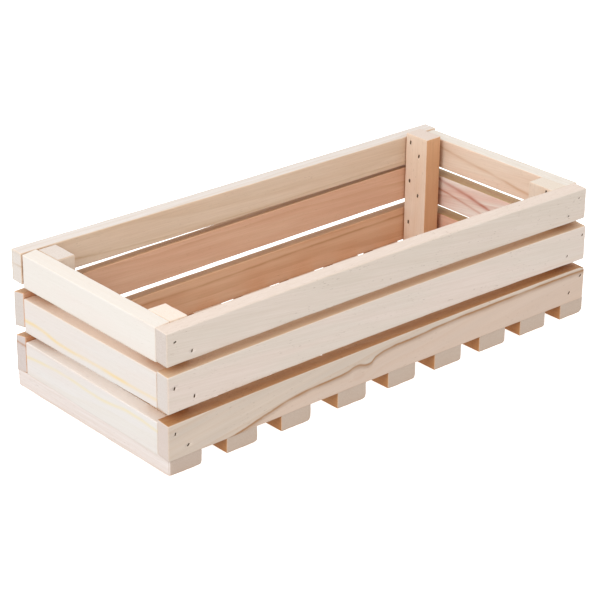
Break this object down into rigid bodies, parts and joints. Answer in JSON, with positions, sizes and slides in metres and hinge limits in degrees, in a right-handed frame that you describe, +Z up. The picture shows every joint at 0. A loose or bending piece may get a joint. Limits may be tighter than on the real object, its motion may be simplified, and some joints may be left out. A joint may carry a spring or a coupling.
{
  "type": "wooden apple crate",
  "caption": "Low open crate of pale sawn softwood: slatted front, rear and ends on corner posts, over a spaced slat floor, fixed with flat brads.",
  "frame": {"origin": "centre of the crate's base, on the surface it stands on", "axes": "+X along the crate's length, +Y across it towards the rear, +Z up"},
  "size_m": [0.4, 0.176, 0.106],
  "materials": {
    "front_slat_wood": "sawn and lightly planed softwood, unfinished",
    "rear_slat_wood": "sawn softwood, unfinished",
    "end_slat_wood": "sawn softwood with pink heartwood streaks, unfinished",
    "post_wood": "sawn softwood, unfinished",
    "floor_slat_wood": "rough-sawn softwood, unfinished",
    "brad_steel": "dull wire"
  },
  "bodies": {
    "root": {"front_slat_bottom": "front_slat_wood", "front_slat_middle": "front_slat_wood", "front_slat_top": "front_slat_wood", "rear_slat_bottom": "rear_slat_wood", "rear_slat_middle": "rear_slat_wood", "rear_slat_top": "rear_slat_wood", "left_end_slat_bottom": "end_slat_wood", "left_end_slat_middle": "end_slat_wood", "left_end_slat_top": "end_slat_wood", "right_end_slat_bottom": "end_slat_wood", "right_end_slat_middle": "end_slat_wood", "right_end_slat_top": "end_slat_wood", "corner_post_front_left": "post_wood", "corner_post_front_right": "post_wood", "corner_post_rear_left": "post_wood", "corner_post_rear_right": "post_wood", "floor_slat_1": "floor_slat_wood", "floor_slat_2": "floor_slat_wood", "floor_slat_3": "floor_slat_wood", "floor_slat_4": "floor_slat_wood", "floor_slat_5": "floor_slat_wood", "floor_slat_6": "floor_slat_wood", "floor_slat_7": "floor_slat_wood", "floor_slat_8": "floor_slat_wood", "floor_slat_9": "floor_slat_wood", "front_slat_brads": "brad_steel", "rear_slat_brads": "brad_steel", "left_post_brads": "brad_steel", "right_post_brads": "brad_steel", "floor_brads": "brad_steel"}
  },
  "joints": []
}
